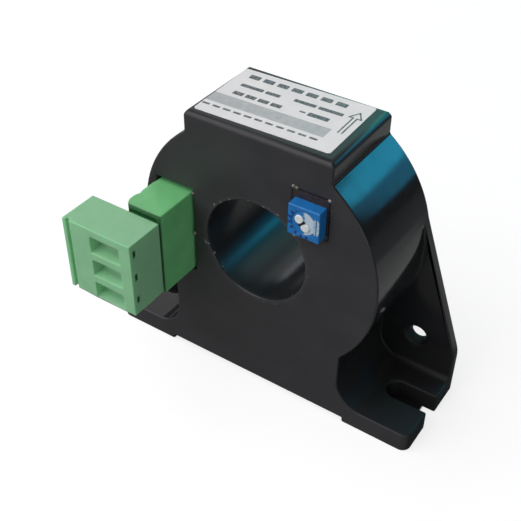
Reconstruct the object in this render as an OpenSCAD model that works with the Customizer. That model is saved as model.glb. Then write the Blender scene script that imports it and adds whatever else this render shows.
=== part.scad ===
/* [Housing] */
// Radius of the round body that surrounds the cable bore
ring_r = 24.3; // [23.6:0.1:26]
// Depth of the body from its front face to its back face
depth = 19.5; // [19:0.5:24]
// Diameter of the cable bore
bore_d = 20.5; // [18:0.5:21]
// Height of the bore axis above the mounting face
axis_h = 32.2; // [32:0.2:36]
// Wall of the shell and its front panel
wall = 2; // [1.8:0.1:2.4]
// Wall of the tube that lines the bore
tube_wall = 1.45; // [1.2:0.05:1.6]
// Chamfer at both mouths of the bore
bore_chamfer = 0.8; // [0.3:0.1:1]
// Width of the flat-topped block that carries the label
block_w = 29; // [28:0.5:31]
// Height of the block's top above the bore axis
block_top = 23.7; // [23.2:0.1:24.2]
// Rounding of the block's top edges
block_edge_r = 1.2; // [0.5:0.1:1.5]
// Fillet where the block meets the round body
block_fillet_r = 1; // [0.6:0.1:1.5]
// Width of the neck between the round body and the base
neck_w = 36.4; // [35:0.2:38]
// Fillet where the neck meets the round body
neck_fillet_r = 2.2; // [1.5:0.1:3]

/* [Base and wings] */
// Width over both feet
foot_w = 67; // [66:0.5:72]
// Thickness of each foot
foot_t = 4.3; // [3.5:0.1:5]
// Fillet between a foot's top and the neck
foot_fillet_r = 5.6; // [4.5:0.1:6]
// Rounding of each foot's front corner, seen from above
foot_corner_r = 1.8; // [1:0.1:2.5]
// Width of the hollow under the base, between the feet
hollow_w = 39.5; // [36:0.5:42]
// Height of the hollow under the base
hollow_h = 1.05; // [0.6:0.05:1.4]
// Width of the open slot in each foot
slot_w = 4.4; // [4.2:0.1:5]
// Distance of each slot's round end from the middle
slot_x = 26.5; // [26:0.5:28]
// Thickness of the wing plate along the back
wing_t = 2.3; // [1.8:0.1:3]
// Height of the wing's upright edge above the mounting face
wing_side_h = 9.35; // [8.4:0.05:10.4]
// Distance that the wing's edge lies inside the line tangent to the round body
wing_inset = 0.15; // [0.1:0.05:0.4]
// Rounding where the wing's edge turns down to the foot
wing_corner_r = 8; // [6:0.5:9]
// Fillet between the wing plate and the foot's top
wing_fillet_r = 1.4; // [0.8:0.1:2]
// Spacing of the two holes in the wings
wing_hole_spacing = 51; // [49:0.5:53]
// Diameter of each wing hole
wing_hole_d = 4.4; // [4:0.1:5]
// Height of the wing holes above the mounting face
wing_hole_h = 11.9; // [11:0.1:13]

/* [Rear cover and label] */
// Thickness of the rear cover
cover_t = 2; // [1.5:0.1:2.5]
// Depth that the cover sits below the back face
cover_sink = 0.2; // [0.1:0.05:0.4]
// Width of the ledge that the cover rests on
ledge = 0.9; // [0.6:0.1:1.2]
// Gap round the cover
cover_gap = 0.12; // [0.05:0.01:0.2]
// Diameter of the posts and bosses that hold the circuit board
boss_d = 3; // [2.5:0.1:3.4]
// Distance of each boss from the two walls beside it
boss_in = 2.2; // [2:0.1:2.6]
// Width of the label
label_w = 25.9; // [24:0.1:27]
// Depth of the label
label_d = 16.7; // [15:0.1:17.5]
// Thickness of the label
label_t = 0.12; // [0.08:0.01:0.2]
// Distance of the label's middle to the right of the block's middle
label_x = -0.5; // [-1.2:0.1:0.8]
// Distance of the label's middle behind the block's middle
label_y = 0.45; // [-0.3:0.05:0.8]

/* [Circuit board] */
// Distance of the board behind the front face
board_back = 3.7; // [3.5:0.1:4]
// Thickness of the board
board_t = 1.6; // [1:0.1:1.6]
// Gap between the board and the shell
board_gap = 0.3; // [0.2:0.05:0.5]
// Length of the soldered tails behind the board
tail = 1.3; // [0.8:0.1:1.4]
// Room behind the board that the tails need
tail_room = 1.8; // [1.7:0.1:2]
// Gap round a lead in its hole
lead_gap = 0.08; // [0.05:0.01:0.12]

/* [Parts on the board] */
// Diameter of a round lead
lead_d = 0.6; // [0.4:0.05:0.7]
// Spacing of the leads of a chip, a transistor and the sensing element
lead_pitch = 1.27; // [1.2:0.01:1.3]
// Height of the row of parts behind the board, above the two lower bosses
row_up = 1.3; // [1:0.1:1.8]
// Width of the amplifier
op_amp_w = 4.9; // [4.7:0.1:5.2]
// Height of the amplifier between its two rows of leads
op_amp_h = 3.9; // [3.6:0.1:4.2]
// Thickness of the amplifier
op_amp_t = 1.5; // [1.3:0.1:1.6]
// Gap between the amplifier and the board
op_amp_lift = 0.1; // [0.05:0.05:0.2]
// Width of each of the amplifier's flat leads
op_amp_lead_w = 0.4; // [0.3:0.05:0.5]
// Length of each flat lead outside the amplifier
op_amp_lead_l = 0.75; // [0.6:0.05:0.9]
// Height of each flat lead on the board
op_amp_lead_t = 0.6; // [0.4:0.1:0.8]
// Radius of each transistor's round back
transistor_r = 2.2; // [2:0.1:2.4]
// Distance from each transistor's middle to its flat face
transistor_flat = 1.3; // [1:0.1:1.5]
// Length of each transistor
transistor_l = 4.5; // [4:0.1:5]
// Length of a transistor's leads between it and the board
transistor_lift = 1.5; // [1:0.1:2]
// Distance of each transistor from the middle
transistor_x = 6; // [5.6:0.1:6.2]
// Diameter of each capacitor
capacitor_d = 3.8; // [3.4:0.1:4]
// Length of each capacitor
capacitor_l = 7; // [5:0.1:8]
// Gap between each capacitor and the winding
capacitor_gap = 0.8; // [0.4:0.1:2]
// Height of the row of chips before the board, above the two lower bosses
chip_up = 4.4; // [4:0.1:5]
// Width of each diode
diode_w = 2.8; // [2.4:0.1:3]
// Height of each diode
diode_h = 1.8; // [1.4:0.1:2]
// Thickness of each diode
diode_t = 1.2; // [0.8:0.1:1.3]
// Distance of each diode from the middle
diode_x = 9.5; // [9:0.1:10]
// Width of each resistor
resistor_w = 2; // [1.6:0.1:2.2]
// Height of each resistor
resistor_h = 1.25; // [1:0.05:1.4]
// Thickness of each resistor
resistor_t = 0.5; // [0.4:0.05:0.6]
// Spacing of the four resistors
resistor_pitch = 3.6; // [3.2:0.1:3.8]

/* [Core and winding] */
// Thickness of the winding round the core
winding_t = 1.6; // [1:0.1:1.8]
// Width of the core, measured outwards from the bore
core_w = 5; // [4:0.1:5.4]
// Air gap in the core that holds the sensing element
core_gap = 2; // [1.8:0.1:2.6]
// Gap between the core and its winding
core_clear = 0.1; // [0.05:0.05:0.2]
// Gap between a part and the seat that carries it
seat_gap = 0.3; // [0.2:0.05:0.4]
// Part of the core that is wound, in degrees
winding_angle = 300; // [280:5:310]
// Thickness of the sensing element
hall_t = 1.5; // [1.2:0.1:1.6]
// Side of the sensing element's square face
hall_side = 4; // [3:0.1:4.4]

/* [Trimmer] */
// Side of the trimmer's square case
trimmer_w = 6; // [5.6:0.1:6.4]
// Distance that the trimmer stands out of the front face
trimmer_out = 2.05; // [1.5:0.05:2.5]
// Direction of the trimmer's near corner from the bore axis, in degrees
trimmer_angle = 49.3; // [45:0.1:52]
// Gap between the trimmer's near corner and the bore's tube
trimmer_gap = 0.2; // [0.1:0.05:0.5]
// Diameter of the turning rotor
rotor_d = 4.4; // [3.6:0.1:4.8]
// Depth of the rotor
rotor_h = 1.8; // [1.2:0.1:2.2]
// Radial gap round the rotor
rotor_gap = 0.06; // [0.04:0.01:0.1]
// Width of the screwdriver slot in the rotor
rotor_slot_w = 0.75; // [0.6:0.05:1]
// Length of the screwdriver slot in the rotor
rotor_slot_l = 3.4; // [2.6:0.1:3.5]
// Depth of the screwdriver slot in the rotor
rotor_slot_d = 0.9; // [0.5:0.1:1]
// Angle of the rotor's slot from the horizontal, in degrees
rotor_slot_angle = 52; // [0:1:90]
// Spacing of the trimmer's three leads
trimmer_pitch = 2.54; // [2:0.01:2.54]
// Gap between the case and the window at its sides
window_side = 0.45; // [0.3:0.05:0.5]
// Gap between the case and the window below it
window_below = 0.5; // [0.3:0.05:0.8]
// Gap between the case and the window above it
window_above = 1.6; // [0.5:0.1:2]

/* [Terminal header] */
// Spacing of the three terminals
pitch = 5.08; // [5:0.01:5.1]
// Right side of the header, from the bore axis
header_right = -13.67; // [-14:0.01:-13.4]
// Width of the header across its mouth
header_w = 7.55; // [7.4:0.05:7.7]
// Height of the header
header_h = 17.3; // [17:0.1:17.6]
// Height of the header's middle from the bore axis
header_z = -1.6; // [-2:0.1:-1.2]
// Gap between the header and its window, at its outer side and below it
header_gap = 0.12; // [0.1:0.01:0.2]
// Gap between the header and its window above it
header_above = 0.9; // [0.3:0.1:1.2]
// Distance that the header stands out of the front face
header_out = 8.6; // [8:0.1:9]
// Wall of the header's shell
header_wall = 1; // [0.8:0.05:1.1]
// Thickness of the header's floor
header_floor = 2.6; // [2:0.1:3]
// Height of the rear ridge along the header's outer side
rear_ridge_h = 0.2; // [0.1:0.05:0.3]
// Height of the front ridge along the header's outer side
front_ridge_h = 0.4; // [0.2:0.05:0.5]
// Distance from the front face to the groove between the two ridges
ridge_split = 4.8; // [4:0.1:5]
// Length of the slope at each end of a ridge
ridge_ramp = 1; // [0.5:0.1:1.4]
// Chamfer at the outer corner of the header's mouth
mouth_chamfer = 0.5; // [0.3:0.1:0.8]
// Side of the square header pins
pin_w = 1; // [0.8:0.05:1.1]
// Distance of the pin tips inside the header's mouth
pin_sink = 1.8; // [1.5:0.1:3]

/* [Terminal plug] */
// Width of the plug, from its screw side to its plain side
plug_w = 15.05; // [14.8:0.05:15.4]
// Height of the plug
plug_h = 15.4; // [15.3:0.05:15.6]
// Depth of the plug outside the header
plug_depth = 8; // [7.8:0.05:8.6]
// Distance of the plug's middle below the header's middle
plug_drop = 0.2; // [0:0.05:0.3]
// Distance of the poles' middle below the plug's middle
pole_drop = 0.35; // [0.2:0.05:0.4]
// Gap between the plug's shoulder and the header's mouth
plug_gap = 0.4; // [0.1:0.05:0.5]
// Length of the tongue inside the header
tongue_l = 8.9; // [8:0.1:9.2]
// Gap between the tongue and the header's walls
tongue_gap = 0.15; // [0.1:0.01:0.2]
// Width of each wire entry at the front
entry_w = 6.5; // [6:0.1:7]
// Height of each wire entry at the front
entry_h = 3.5; // [3:0.1:3.8]
// Distance of each wire entry's middle below its pole
entry_drop = 0.4; // [0.2:0.05:0.5]
// Depth of the wire entry's funnel
entry_depth = 1.5; // [1:0.1:1.6]
// Distance of the entries' middle from the plug's plain side
entry_in = 5.75; // [5.6:0.05:6]
// Thickness of the wall between the funnel and the clamp
entry_wall = 1.1; // [0.8:0.1:1.2]
// Width of the groove beside the lip on the screw side
groove_w = 0.8; // [0.5:0.1:1]
// Depth of the groove beside the lip
groove_d = 0.6; // [0.4:0.1:0.8]
// Width of the lip on the screw side
lip_w = 0.8; // [0.6:0.1:1.2]
// Width of each test slot on the plain side
test_slot_w = 0.8; // [0.6:0.1:1]
// Height of each test slot
test_slot_h = 1.5; // [1:0.1:1.8]
// Distance of the test slots from the plug's front
test_slot_in = 1.3; // [1:0.1:1.6]
// Height of each test slot's middle above its pole
test_slot_rise = 0.7; // [0.4:0.05:0.8]
// Depth of the test slots
test_slot_depth = 1.8; // [1:0.1:1.8]

/* [Terminal clamps] */
// Length of each clamp cage along its screw
cage_l = 6; // [5.6:0.1:6.2]
// Depth of each clamp cage, from its front to its back
cage_d = 3.4; // [3.2:0.1:3.6]
// Width of each clamp cage across its pole
cage_w = 3.4; // [3.2:0.1:3.6]
// Thickness of the cage's threaded wall
cage_nut_t = 1.6; // [1.4:0.1:1.8]
// Thickness of the cage's clamping wall
cage_bar_t = 1; // [0.8:0.1:1.1]
// Gap between the cage and its chamber
cage_gap = 0.15; // [0.1:0.01:0.16]
// Distance that the cage travels when the screw is tightened
cage_travel = 2.5; // [2:0.1:2.6]
// Gap behind the open cage's clamping wall
cage_rest = 0.6; // [0.2:0.1:0.8]
// Distance of the open cage's clamping wall inside the wire entry's edge
clamp_in = 1.3; // [1:0.1:1.6]
// Thickness of the contact strip
strip_t = 0.6; // [0.5:0.05:0.7]
// Gap between the contact strip and the cage on each side
strip_gap = 0.2; // [0.1:0.05:0.3]
// Gap between a contact and what it passes through
contact_gap = 0.1; // [0.05:0.01:0.15]
// Wall of the contact's socket, which grips the pin
socket_wall = 0.45; // [0.4:0.05:0.5]
// Gap between the pin and its socket
socket_gap = 0.15; // [0.1:0.01:0.2]
// Diameter of the clamp screw's thread
screw_d = 2.44; // [2.2:0.02:2.5]
// Diameter of the clamp screw's head
screw_head_d = 3.5; // [3.2:0.1:3.6]
// Thickness of the clamp screw's head
screw_head_t = 1.5; // [1.2:0.1:1.6]
// Width of the slot in the clamp screw's head
screw_slot_w = 0.5; // [0.4:0.05:0.7]
// Depth of the slot in the clamp screw's head
screw_slot_d = 0.75; // [0.5:0.05:0.9]
// Radial gap round the thread
screw_gap = 0.08; // [0.05:0.01:0.1]
// Gap between the screw's head and its shelf
head_gap = 0.06; // [0.03:0.01:0.1]
// Thickness of the shelf that the screw's head bears on
shelf_t = 1; // [0.8:0.1:1.2]

/* [Hidden] */
$fn = 96;

// Overlap that lets a cut pass a face and a joined piece sink into its neighbour
eps = 0.05;
// Depth that a fillet's ends sink into the faces that it joins
blend = 0.02;
front_y = -depth / 2;
back_y = depth / 2;
base_z = -axis_h;
foot_top = base_z + foot_t;
under_z = base_z + hollow_h;
tube_r = bore_d / 2 + tube_wall;
cover_back = back_y - cover_sink;
cover_front = cover_back - cover_t;
board_front = front_y + board_back;
board_rear = board_front + board_t;
boss_x = neck_w / 2 - wall - boss_in;
boss_z = under_z + wall + boss_in;
top_boss_x = block_w / 2 - wall - boss_in;
top_boss_z = block_top - wall - boss_in;
lead_r = lead_d / 2;
row_z = boss_z + row_up;
chip_z = boss_z + chip_up;

coil_in = tube_r + seat_gap;
coil_y0 = board_rear + tail_room;
coil_y1 = cover_front - seat_gap;
core_in = coil_in + winding_t + core_clear;
core_out = core_in + core_w;
core_y0 = coil_y0 + winding_t + core_clear;
core_y1 = coil_y1 - winding_t - core_clear;
core_mid_y = (core_y0 + core_y1) / 2;
coil_out = core_out + core_clear + winding_t;
capacitor_x = boss_x - (boss_d + capacitor_d) / 2 - seat_gap;
capacitor_reach = coil_out + capacitor_gap + capacitor_d / 2;
capacitor_z = -sqrt(capacitor_reach * capacitor_reach - capacitor_x * capacitor_x);

trimmer_near = (tube_r + trimmer_gap) * [cos(trimmer_angle), sin(trimmer_angle)];
trimmer_pos = trimmer_near + [trimmer_w, trimmer_w] / 2;
window_w = trimmer_w + 2 * window_side;
window_h = trimmer_w + window_below + window_above;
trimmer_front = front_y - trimmer_out;

header_left = header_right - header_w;
header_front = front_y - header_out;
pin_x = header_right - header_w / 2;
plug_z = header_z - plug_drop;
shoulder_y = header_front - plug_gap;
plug_front = shoulder_y - plug_depth;
plug_left = header_right - plug_w;
tongue_w = header_w - 2 * header_wall - 2 * tongue_gap;
tongue_h = header_h - 2 * header_wall - 2 * tongue_gap - 2 * plug_drop;
entry_x = header_right - entry_in;

chamber_y0 = plug_front + entry_depth + entry_wall;
cage_y0 = chamber_y0 + cage_gap;
cage_y1 = cage_y0 + cage_d;
screw_y = (cage_y0 + cage_y1) / 2;
step_y0 = cage_y1 + seat_gap;
step_y1 = step_y0 + strip_t;
chamber_y1 = step_y1 + cage_gap;
wire_x1 = entry_x + entry_w / 2 - clamp_in;
cage_x1 = wire_x1 + cage_bar_t;
cage_x0 = cage_x1 - cage_l;
cage_side_t = (cage_w - screw_d) / 2 - screw_gap;
strip_w = cage_w - 2 * cage_side_t - 2 * strip_gap;
strip_x0 = cage_x0 + cage_nut_t + contact_gap;
strip_x1 = strip_x0 + strip_t;
chamber_x1 = cage_x1 + cage_rest;
chamber_x0 = cage_x0 - cage_travel - seat_gap;
shelf_x = chamber_x0 - shelf_t;
head_x = shelf_x - head_gap;
socket_w = pin_w + 2 * socket_gap + 2 * socket_wall;

function pole_z(n) = plug_z - pole_drop + (2 - n) * pitch;

// Places of the trimmer's three leads, the middle one above the others
trimmer_leads = [for (i = [-1, 0, 1])
    trimmer_pos + trimmer_pitch * [i, i == 0 ? 1 / 2 : -1 / 2]];

black = "#1b1b1e";
case_blue = "#2277cc";
plug_green = "#8fc49a";
header_green = "#57a862";
metal = "#c9c7be";
brass = "#c8a86a";

// Extrudes a drawing of the front view from y0 back to y1
module front_view(y0, y1) {
    translate([0, y1, 0]) rotate([90, 0, 0]) linear_extrude(height = y1 - y0) children();
}

// Extrudes a drawing of the top view from z0 up to z1
module top_view(z0, z1) {
    translate([0, 0, z0]) linear_extrude(height = z1 - z0) children();
}

// Box between two corners
module box(lo, hi) {
    translate(lo) cube(hi - lo);
}

// Round bar or bore along the cable's direction
module along_y(r, y0, y1, x, z) {
    translate([x, y1, z]) rotate([90, 0, 0]) cylinder(r = r, h = y1 - y0);
}

// Draws both sides of what is drawn on the right
module both_sides() {
    children();
    mirror([1, 0]) children();
}

// Ring, block and neck of the body, drawn a given distance inside the outer surface
module body_outline(inset) {
    intersection() {
        circle(r = ring_r - inset);
        translate([-ring_r, -ring_r]) square([2 * ring_r, ring_r + block_top - inset]);
    }
    translate([inset - block_w / 2, 0]) square([block_w - 2 * inset, block_top - inset]);
    translate([inset - neck_w / 2, under_z + inset]) square([neck_w - 2 * inset, -under_z - inset]);
}

// Fillet between the ring and an upright side at half width w, above or below the axis
module ring_fillet(w, r, side) {
    x = w + r - blend;
    reach = ring_r + r - blend;
    z = side * sqrt(reach * reach - x * x);
    touch = [x, z] * (ring_r - blend) / reach;
    difference() {
        polygon([[w - r, z], [x, z], touch, [w - r, touch[1]]]);
        translate([x, z]) circle(r = r);
    }
}

// Fillet in a square inner corner, whose corner is at the origin
module corner_fillet(r) {
    difference() {
        translate([-eps, -eps]) square(r);
        translate([r - blend, r - blend]) circle(r = r);
    }
}

// Rectangle standing on a base line, with its two upper corners rounded
module round_topped(w, low, high, r) {
    translate([-w / 2, low]) square([w, high - low - r]);
    translate([r - w / 2, low]) square([w - 2 * r, high - low]);
    both_sides() translate([w / 2 - r, high - r]) circle(r = r);
}

// Front view of the body between the wings
module shell_outline() {
    difference() {
        union() {
            body_outline(0);
            both_sides() ring_fillet(neck_w / 2, neck_fillet_r, -1);
            both_sides() translate([neck_w / 2, foot_top]) corner_fillet(foot_fillet_r);
            both_sides() ring_fillet(block_w / 2, block_fillet_r, 1);
        }
        both_sides() translate([block_w / 2 - block_edge_r, block_top - block_edge_r]) difference() {
            square(2 * block_edge_r);
            circle(r = block_edge_r);
        }
    }
}

// Front view of both wings, whose edges run from the ring to the rounding of the wing's corner
module wing_outline() {
    corner = [foot_w / 2 - wing_corner_r, base_z + wing_side_h];
    edge = ring_r - wing_inset;
    lean = atan2(corner[1], corner[0]) + acos((edge - wing_corner_r) / norm(corner));
    n = [cos(lean), sin(lean)];
    both_sides() {
        polygon([[0, 0], edge * n, corner + wing_corner_r * n, corner,
            [foot_w / 2, corner[1]], [foot_w / 2, base_z], [0, base_z]]);
        translate(corner) circle(r = wing_corner_r);
    }
}

// Top view of the base, with its two open slots
module base_outline() {
    difference() {
        union() {
            translate([-foot_w / 2, front_y + foot_corner_r]) square([foot_w, depth - foot_corner_r]);
            translate([foot_corner_r - foot_w / 2, front_y]) square([foot_w - 2 * foot_corner_r, depth]);
            both_sides() translate([foot_w / 2 - foot_corner_r, front_y + foot_corner_r])
                circle(r = foot_corner_r);
        }
        both_sides() {
            translate([slot_x, 0]) circle(r = slot_w / 2);
            translate([slot_x, -slot_w / 2]) square([foot_w, slot_w]);
        }
    }
}

// Block edges along the front and back, drawn from the side
module side_rounding() {
    rotate([90, 0, 90]) linear_extrude(height = 2 * foot_w, center = true)
        round_topped(depth, base_z - foot_t, block_top, block_edge_r);
}

module housing_solid() {
    intersection() {
        front_view(front_y, back_y) shell_outline();
        side_rounding();
    }
    top_view(base_z, foot_top) base_outline();
    difference() {
        front_view(back_y - wing_t, back_y) wing_outline();
        front_view(back_y - wing_t - eps, back_y + eps) both_sides()
            translate([wing_hole_spacing / 2, base_z + wing_hole_h]) circle(r = wing_hole_d / 2);
    }
    both_sides() translate([0, back_y - wing_t, foot_top]) rotate([90, 0, 90]) mirror([1, 0])
        linear_extrude(height = foot_w / 2) corner_fillet(wing_fillet_r);
}

module housing() {
    color(black) {
        difference() {
            housing_solid();
            front_view(front_y + wall, back_y + eps) body_outline(wall);
            front_view(cover_front, back_y + eps) body_outline(wall - ledge);
            box([-hollow_w / 2, front_y - eps, base_z - eps], [hollow_w / 2, back_y + eps, under_z]);
            header_window();
            trimmer_window();
            along_y(bore_d / 2, front_y - eps, back_y + eps, 0, 0);
        }
        bore_tube();
        for (p = [[boss_x, boss_z], [-boss_x, boss_z], [top_boss_x, top_boss_z], [-top_boss_x, top_boss_z]])
            along_y(boss_d / 2, front_y + wall - eps, board_front, p[0], p[1]);
    }
}

// Tube that lines the bore, with a chamfer at each mouth
module bore_tube() {
    rotate([-90, 0, 0]) rotate_extrude() polygon([
        [bore_d / 2 + bore_chamfer, front_y], [tube_r, front_y], [tube_r, back_y],
        [bore_d / 2 + bore_chamfer, back_y], [bore_d / 2, back_y - bore_chamfer],
        [bore_d / 2, front_y + bore_chamfer]]);
}

// Opening in the front panel for the header, as deep as the board
module header_window() {
    box([header_left - header_gap, front_y - eps, header_z - header_h / 2 - header_gap],
        [header_right + window_side, board_front, header_z + header_h / 2 + header_above]);
}

// Opening in the front panel for the trimmer
module trimmer_window() {
    translate([trimmer_pos[0] - window_w / 2, front_y - eps, trimmer_pos[1] - trimmer_w / 2 - window_below])
        cube([window_w, wall + 2 * eps, window_h]);
}

module rear_cover() {
    color("#202023") {
        difference() {
            front_view(cover_front, cover_back) body_outline(wall - ledge + cover_gap);
            along_y(tube_r + cover_gap, cover_front - eps, cover_back + eps, 0, 0);
        }
        for (x = [-boss_x, boss_x])
            along_y(boss_d / 2, board_rear, cover_front + eps, x, boss_z);
    }
}

module label() {
    color("#e8eaec") translate([label_x - label_w / 2, label_y - label_d / 2, block_top])
        cube([label_w, label_d, label_t]);
}

module pcb() {
    color("#1f6b3a") difference() {
        front_view(board_front, board_rear) body_outline(wall + board_gap);
        along_y(tube_r + board_gap, board_front - eps, board_rear + eps, 0, 0);
        for (n = [1 : 3]) pin_hole(n, board_front, board_rear);
        for (p = trimmer_leads)
            along_y(lead_r + lead_gap, board_front - eps, board_rear + eps, p[0], p[1]);
    }
}

// Square hole for a header pin
module pin_hole(n, y0, y1) {
    r = pin_w / 2 + lead_gap;
    box([pin_x - r, y0 - eps, pole_z(n) - r], [pin_x + r, y1 + eps, pole_z(n) + r]);
}

module core() {
    color("#5b5f66") difference() {
        front_view(core_y0, core_y1) difference() {
            circle(r = core_out);
            circle(r = core_in);
        }
        box([-core_gap / 2, core_y0 - eps, -core_out - eps], [core_gap / 2, core_y1 + eps, 0]);
    }
}

module coil() {
    color("#a8502a") rotate([-90, 0, 0]) rotate([0, 0, 90 + (360 - winding_angle) / 2])
        rotate_extrude(angle = winding_angle) difference() {
            translate([coil_in, coil_y0]) square([coil_out - coil_in, coil_y1 - coil_y0]);
            translate([core_in - core_clear, core_y0 - core_clear])
                square([core_w + 2 * core_clear, core_y1 - core_y0 + 2 * core_clear]);
        }
}

module hall_element() {
    z = -(core_in + core_out) / 2;
    color("#303036") {
        box([-hall_t / 2, core_mid_y - hall_side / 2, z - hall_side / 2],
            [hall_t / 2, core_mid_y + hall_side / 2, z + hall_side / 2]);
        for (i = [-1, 0, 1])
            along_y(lead_r, board_rear, core_mid_y - hall_side / 2 + eps, 0, z + i * lead_pitch);
    }
}

// Points of a ridge along the header's outer side, from y1 forwards to y0
function ridge(y0, y1, h) = [[header_left, y1], [header_left - h, y1 - ridge_ramp],
    [header_left - h, y0 + ridge_ramp], [header_left, y0]];

// Top view of the header
module header_outline() {
    split_y = front_y - ridge_split;
    polygon(concat(
        [[header_right, board_front], [header_left, board_front]],
        ridge(split_y + eps, front_y - eps, rear_ridge_h),
        ridge(header_front + mouth_chamfer, split_y - eps, front_ridge_h),
        [[header_left + mouth_chamfer, header_front], [header_right, header_front]]));
}

module header() {
    half = header_h / 2;
    color(header_green) difference() {
        top_view(header_z - half, header_z + half) header_outline();
        box([header_left + header_wall, header_front - eps, header_z - half + header_wall],
            [header_right - header_wall, board_front - header_floor, header_z + half - header_wall]);
        for (n = [1 : 3]) pin_hole(n, board_front - header_floor, board_front);
    }
}

module header_pin(n) {
    r = pin_w / 2;
    color(metal) box([pin_x - r, header_front + pin_sink, pole_z(n) - r],
        [pin_x + r, board_rear + tail, pole_z(n) + r]);
}
module header_pin_1() { header_pin(1); }
module header_pin_2() { header_pin(2); }
module header_pin_3() { header_pin(3); }

module trimmer_body() {
    color(case_blue) difference() {
        box([trimmer_pos[0] - trimmer_w / 2, trimmer_front, trimmer_pos[1] - trimmer_w / 2],
            [trimmer_pos[0] + trimmer_w / 2, board_front, trimmer_pos[1] + trimmer_w / 2]);
        along_y(rotor_d / 2 + rotor_gap, trimmer_front - eps, trimmer_front + rotor_h + seat_gap,
            trimmer_pos[0], trimmer_pos[1]);
    }
}

module trimmer_rotor() {
    color("#eef2f4") translate([trimmer_pos[0], trimmer_front, trimmer_pos[1]]) difference() {
        along_y(rotor_d / 2, eps, rotor_h, 0, 0);
        rotate([0, -rotor_slot_angle, 0]) box([-rotor_slot_l / 2, -eps, -rotor_slot_w / 2],
            [rotor_slot_l / 2, rotor_slot_d, rotor_slot_w / 2]);
    }
}

module trimmer_pins() {
    color(metal) for (p = trimmer_leads)
        along_y(lead_r, board_front, board_rear + tail, p[0], p[1]);
}

// Amplifier with two rows of four flat leads
module op_amp() {
    color("#26262a") {
        translate([-op_amp_w / 2, board_rear + op_amp_lift, row_z - op_amp_h / 2])
            cube([op_amp_w, op_amp_t, op_amp_h]);
        for (i = [-1.5 : 1 : 1.5], side = [0, 1]) translate([i * lead_pitch, board_rear, row_z])
            mirror([0, 0, side]) translate([-op_amp_lead_w / 2, 0, op_amp_h / 2 - eps])
                cube([op_amp_lead_w, op_amp_lead_t, op_amp_lead_l + eps]);
    }
}

// Half-round transistor on three leads
module transistor(x) {
    body_y = board_rear + transistor_lift;
    color("#26262a") {
        intersection() {
            along_y(transistor_r, body_y, body_y + transistor_l, x, row_z);
            translate([x - transistor_r, body_y, row_z - transistor_r])
                cube([2 * transistor_r, transistor_l, transistor_r + transistor_flat]);
        }
        for (i = [-1, 0, 1])
            along_y(lead_r, board_rear, body_y + eps, x + i * lead_pitch, row_z);
    }
}
module transistor_npn() { transistor(-transistor_x); }
module transistor_pnp() { transistor(transistor_x); }

// Electrolytic can standing on the board
module capacitor(x) {
    color("#23325e") along_y(capacitor_d / 2, board_rear, board_rear + capacitor_l, x, capacitor_z);
}
module capacitor_1() { capacitor(-capacitor_x); }
module capacitor_2() { capacitor(capacitor_x); }

// Small chip on the board's front, between the board and the front panel
module chip(x, w, h, t) {
    translate([x - w / 2, board_front - t, chip_z - h / 2]) cube([w, t, h]);
}
module diode(x) {
    color("#2b2b2e") chip(x, diode_w, diode_h, diode_t);
}
module diode_1() { diode(-diode_x); }
module diode_2() { diode(diode_x); }
module resistor(n) {
    color("#3a3a3a") chip((n - 2.5) * resistor_pitch, resistor_w, resistor_h, resistor_t);
}
module resistor_1() { resistor(1); }
module resistor_2() { resistor(2); }
module resistor_3() { resistor(3); }
module resistor_4() { resistor(4); }

// Everything that is cut from the plug for one wire
module pole_cut(z) {
    mouth_z = z - entry_drop;
    box([entry_x - entry_w / 2, plug_front - eps, mouth_z - entry_h / 2],
        [entry_x + entry_w / 2, plug_front + entry_depth, mouth_z + entry_h / 2]);
    box([strip_x1, plug_front, z - cage_w / 2 + cage_side_t],
        [wire_x1, chamber_y0 + eps, z + cage_w / 2 - cage_side_t]);
    box([chamber_x0, chamber_y0, z - cage_w / 2 - cage_gap],
        [chamber_x1, chamber_y1, z + cage_w / 2 + cage_gap]);
    box([pin_x - socket_w / 2 - contact_gap, chamber_y1 - eps, z - socket_w / 2 - contact_gap],
        [pin_x + socket_w / 2 + contact_gap, shoulder_y + tongue_l + eps, z + socket_w / 2 + contact_gap]);
    translate([plug_left - eps, screw_y, z]) rotate([0, 90, 0])
        cylinder(r = screw_head_d / 2 + cage_gap, h = shelf_x - plug_left + eps);
    translate([shelf_x - eps, screw_y, z]) rotate([0, 90, 0])
        cylinder(r = screw_d / 2 + screw_gap, h = shelf_t + 2 * eps);
    translate([header_right - test_slot_depth, plug_front + test_slot_in - test_slot_w / 2,
        z + test_slot_rise - test_slot_h / 2])
        cube([test_slot_depth + eps, test_slot_w, test_slot_h]);
}

module plug_body() {
    groove_x = plug_left + lip_w;
    color(plug_green) difference() {
        union() {
            box([plug_left, plug_front, plug_z - plug_h / 2],
                [header_right, shoulder_y, plug_z + plug_h / 2]);
            box([pin_x - tongue_w / 2, shoulder_y - eps, plug_z - tongue_h / 2],
                [pin_x + tongue_w / 2, shoulder_y + tongue_l, plug_z + tongue_h / 2]);
        }
        box([groove_x, plug_front - eps, plug_z - plug_h / 2 - eps],
            [groove_x + groove_w, plug_front + groove_d, plug_z + plug_h / 2 + eps]);
        for (n = [1 : 3]) pole_cut(pole_z(n));
    }
}

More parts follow.
